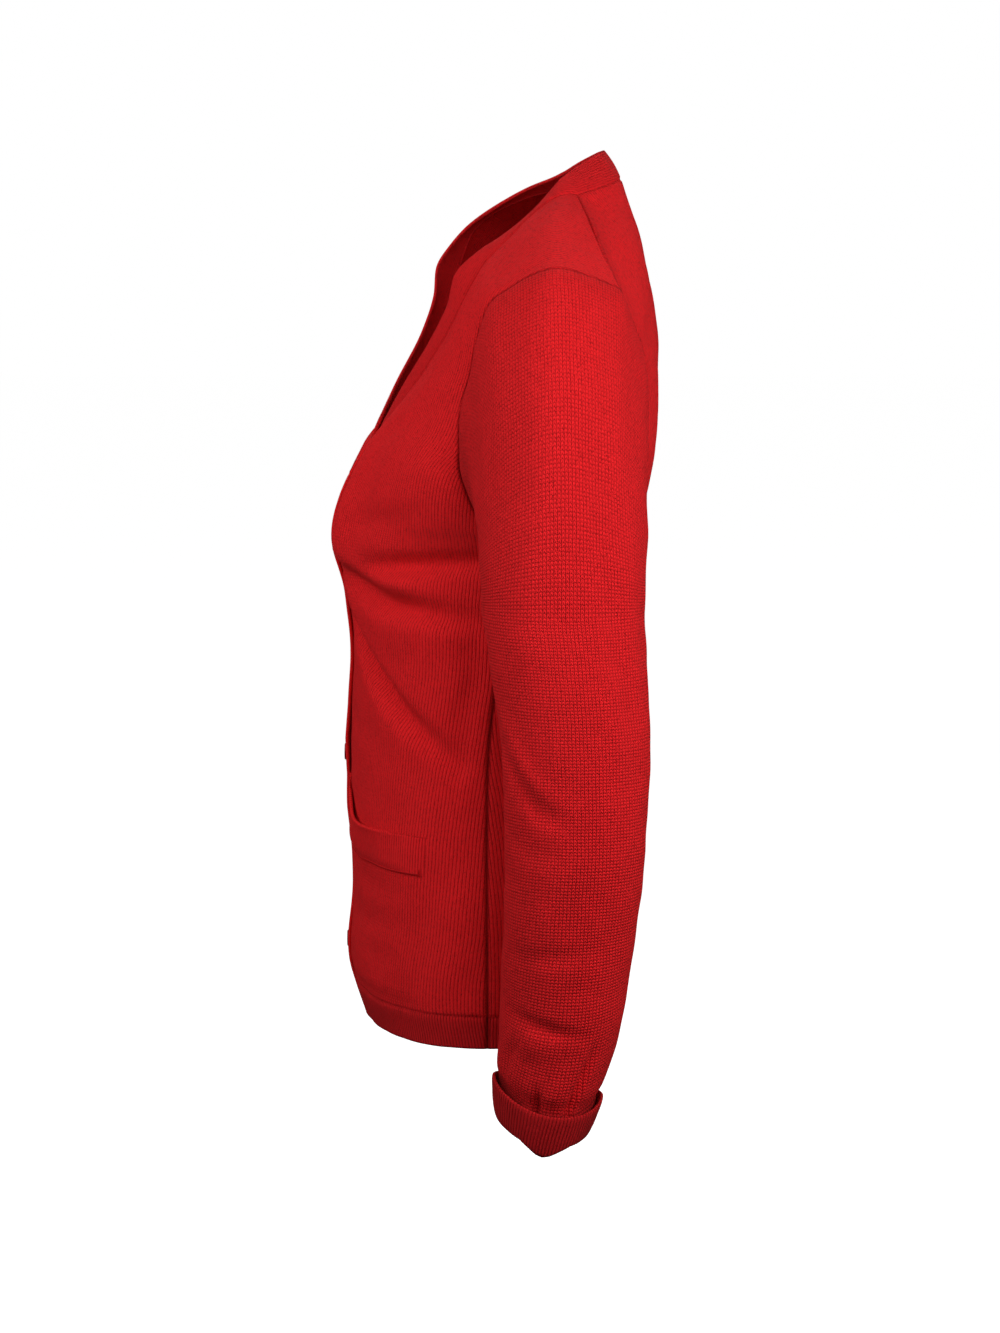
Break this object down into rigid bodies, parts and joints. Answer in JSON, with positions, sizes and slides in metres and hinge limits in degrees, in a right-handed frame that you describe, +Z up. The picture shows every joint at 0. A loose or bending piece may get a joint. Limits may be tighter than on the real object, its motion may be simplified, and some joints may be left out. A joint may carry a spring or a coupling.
{
  "type": "button cardigan",
  "caption": "Fine-knit V-neck cardigan, worn form and hollow: set-in sleeves with turned-back cuffs, ribbed neck, button and hem bands, inset welt pockets and sewn buttons.",
  "frame": {"origin": "midway between the shoulder tips, at the height where the wearer's shoulders hold the garment", "axes": "+Z up, -Y towards the front, +X towards the wearer's left"},
  "size_m": [0.5605, 0.2267, 0.6385],
  "materials": {
    "knit": "red fine-gauge plain knit, matte and slightly fuzzy",
    "rib": "red fine rib knit, matte",
    "button": "dark red polished four-hole button"
  },
  "bodies": {
    "root": {"back": "knit", "front_left": "knit", "front_right": "knit", "sleeve_left": "knit", "sleeve_right": "knit", "cuff_left": "rib", "cuff_right": "rib", "hem_band_back": "rib", "hem_band_left": "rib", "hem_band_right": "rib", "neck_band": "rib", "button_band_left": "rib", "button_band_right": "rib", "pocket_welt_left": "rib", "pocket_welt_right": "rib", "pocket_bag_left": "knit", "pocket_bag_right": "knit", "button_1": "button", "button_2": "button", "button_3": "button", "button_4": "button", "button_5": "button", "button_6": "button"}
  },
  "joints": []
}
